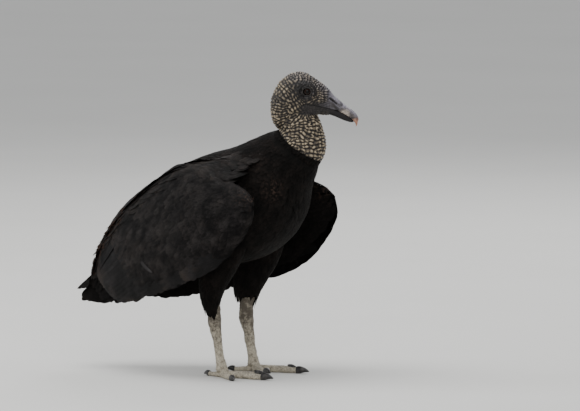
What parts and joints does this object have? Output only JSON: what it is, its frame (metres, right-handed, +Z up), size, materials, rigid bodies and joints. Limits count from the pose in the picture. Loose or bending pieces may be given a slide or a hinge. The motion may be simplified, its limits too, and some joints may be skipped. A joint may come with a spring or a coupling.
{
  "type": "black vulture, standing",
  "caption": "Life-size standing black vulture, wings drooped, bare wrinkled head turned to its left; stands free on flat toe undersides.",
  "frame": {"origin": "on the floor, under the middle of the bird's bounding box", "axes": "+X the way the breast points, +Y the bird's left, +Z up"},
  "size_m": [0.4116, 0.2478, 0.4131],
  "materials": {
    "plumage": "matte, layered feathers",
    "bare_skin": "matte, wrinkled bare skin",
    "bill_horn": "satin horn",
    "shank_skin": "matte, scaly skin",
    "claw_horn": "satin horn",
    "eye": "wet gloss"
  },
  "bodies": {
    "root": {"wing_right": "plumage", "primaries_right": "plumage", "thigh_right": "plumage", "toe_middle_right": "shank_skin", "claw_middle_right": "claw_horn", "toe_inner_right": "shank_skin", "claw_inner_right": "claw_horn", "toe_outer_right": "shank_skin", "claw_outer_right": "claw_horn", "toe_hind_right": "shank_skin", "claw_hind_right": "claw_horn", "shank_right": "shank_skin", "eye_right": "eye", "wing_left": "plumage", "primaries_left": "plumage", "thigh_left": "plumage", "toe_middle_left": "shank_skin", "claw_middle_left": "claw_horn", "toe_inner_left": "shank_skin", "claw_inner_left": "claw_horn", "toe_outer_left": "shank_skin", "claw_outer_left": "claw_horn", "toe_hind_left": "shank_skin", "claw_hind_left": "claw_horn", "shank_left": "shank_skin", "eye_left": "eye", "tail": "plumage", "trunk": "plumage", "neck": "bare_skin", "head": "bare_skin", "bill_upper": "bill_horn", "bill_lower": "bill_horn"}
  },
  "joints": []
}
